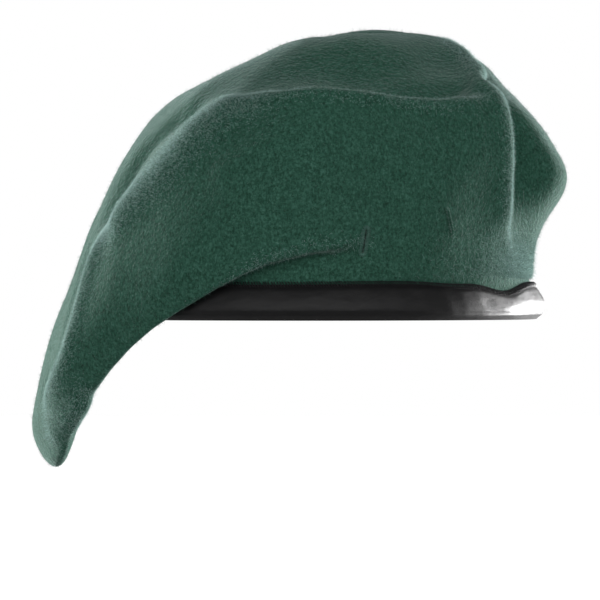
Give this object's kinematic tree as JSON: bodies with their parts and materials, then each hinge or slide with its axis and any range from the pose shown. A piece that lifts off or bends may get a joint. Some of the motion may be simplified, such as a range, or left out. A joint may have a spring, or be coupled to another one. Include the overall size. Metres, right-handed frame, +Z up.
{
  "type": "beret",
  "caption": "Felted wool beret as worn, crown pulled down over one ear, with leather binding, held drawcord, lining, badge stiffener and badge slots.",
  "frame": {"origin": "middle of the head opening, in the plane of the leather binding's bottom edge", "axes": "+Z up; the wearer looks along -Y; +X is the wearer's left, and the flap hangs on the -X side"},
  "size_m": [0.2007, 0.2337, 0.1644],
  "materials": {
    "felt": "milled wool felt, napped, matt",
    "leather": "smooth satin black",
    "cord": "braided cotton",
    "lining": "fine satin weave",
    "stiffener": "matt fibre board",
    "green_thread": "twisted cotton thread",
    "dark_thread": "twisted polyester thread",
    "label": "woven ribbon, blank"
  },
  "bodies": {
    "root": {"wool_crown": "felt", "leather_binding": "leather", "drawcord": "cord", "lining_side": "lining", "lining_tip": "lining", "lining_seam_thread": "dark_thread", "badge_stiffener": "stiffener", "badge_slot_thread_1": "green_thread", "badge_slot_thread_2": "green_thread", "binding_edge_thread": "dark_thread", "binding_inner_thread": "dark_thread", "size_label": "label"}
  },
  "joints": []
}
